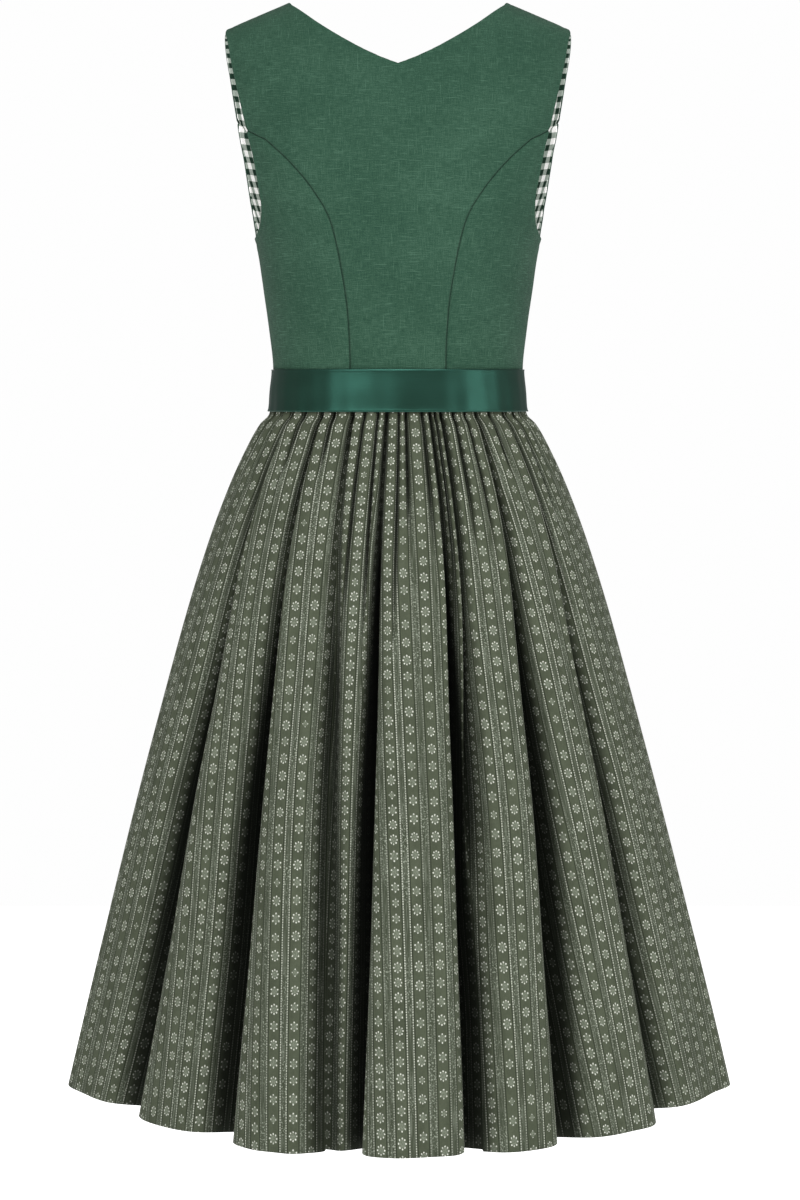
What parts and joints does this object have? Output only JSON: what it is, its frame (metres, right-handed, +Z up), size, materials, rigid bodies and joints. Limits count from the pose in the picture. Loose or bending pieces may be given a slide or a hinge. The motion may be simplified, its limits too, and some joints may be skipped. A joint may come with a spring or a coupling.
{
  "type": "dirndl dress",
  "caption": "Sleeveless folk dress in its worn, hollow shape: fitted linen bodice with a V at the back, satin waist ribbon and a full, finely pleated printed skirt.",
  "frame": {"origin": "middle of the line between the two shoulders, where the wearer's shoulders hold the dress up", "axes": "+Z up, -Y out of the back of the dress, +Y out of its front, +X towards the wearer's right"},
  "size_m": [0.6821, 0.6429, 1.1128],
  "materials": {
    "green_linen": "matt, slubby plain weave linen",
    "green_gingham": "matt cotton with a small woven check in dark green, grey-green and off-white",
    "green_satin": "satin ribbon with a soft sheen",
    "printed_cotton": "matt cotton printed with columns of small pale rosettes and dotted bands on dark grey-green"
  },
  "bodies": {
    "root": {"back_panel": "green_linen", "back_side_left": "green_linen", "back_side_right": "green_linen", "front_side_left": "green_linen", "front_side_right": "green_linen", "front_centre_left": "green_linen", "front_centre_right": "green_linen", "lining_back_panel": "green_gingham", "lining_back_side_left": "green_gingham", "lining_back_side_right": "green_gingham", "lining_front_side_left": "green_gingham", "lining_front_side_right": "green_gingham", "lining_front_centre_left": "green_gingham", "lining_front_centre_right": "green_gingham", "waist_ribbon": "green_satin", "skirt_left": "printed_cotton", "skirt_back": "printed_cotton", "skirt_right": "printed_cotton", "skirt_front": "printed_cotton"}
  },
  "joints": []
}
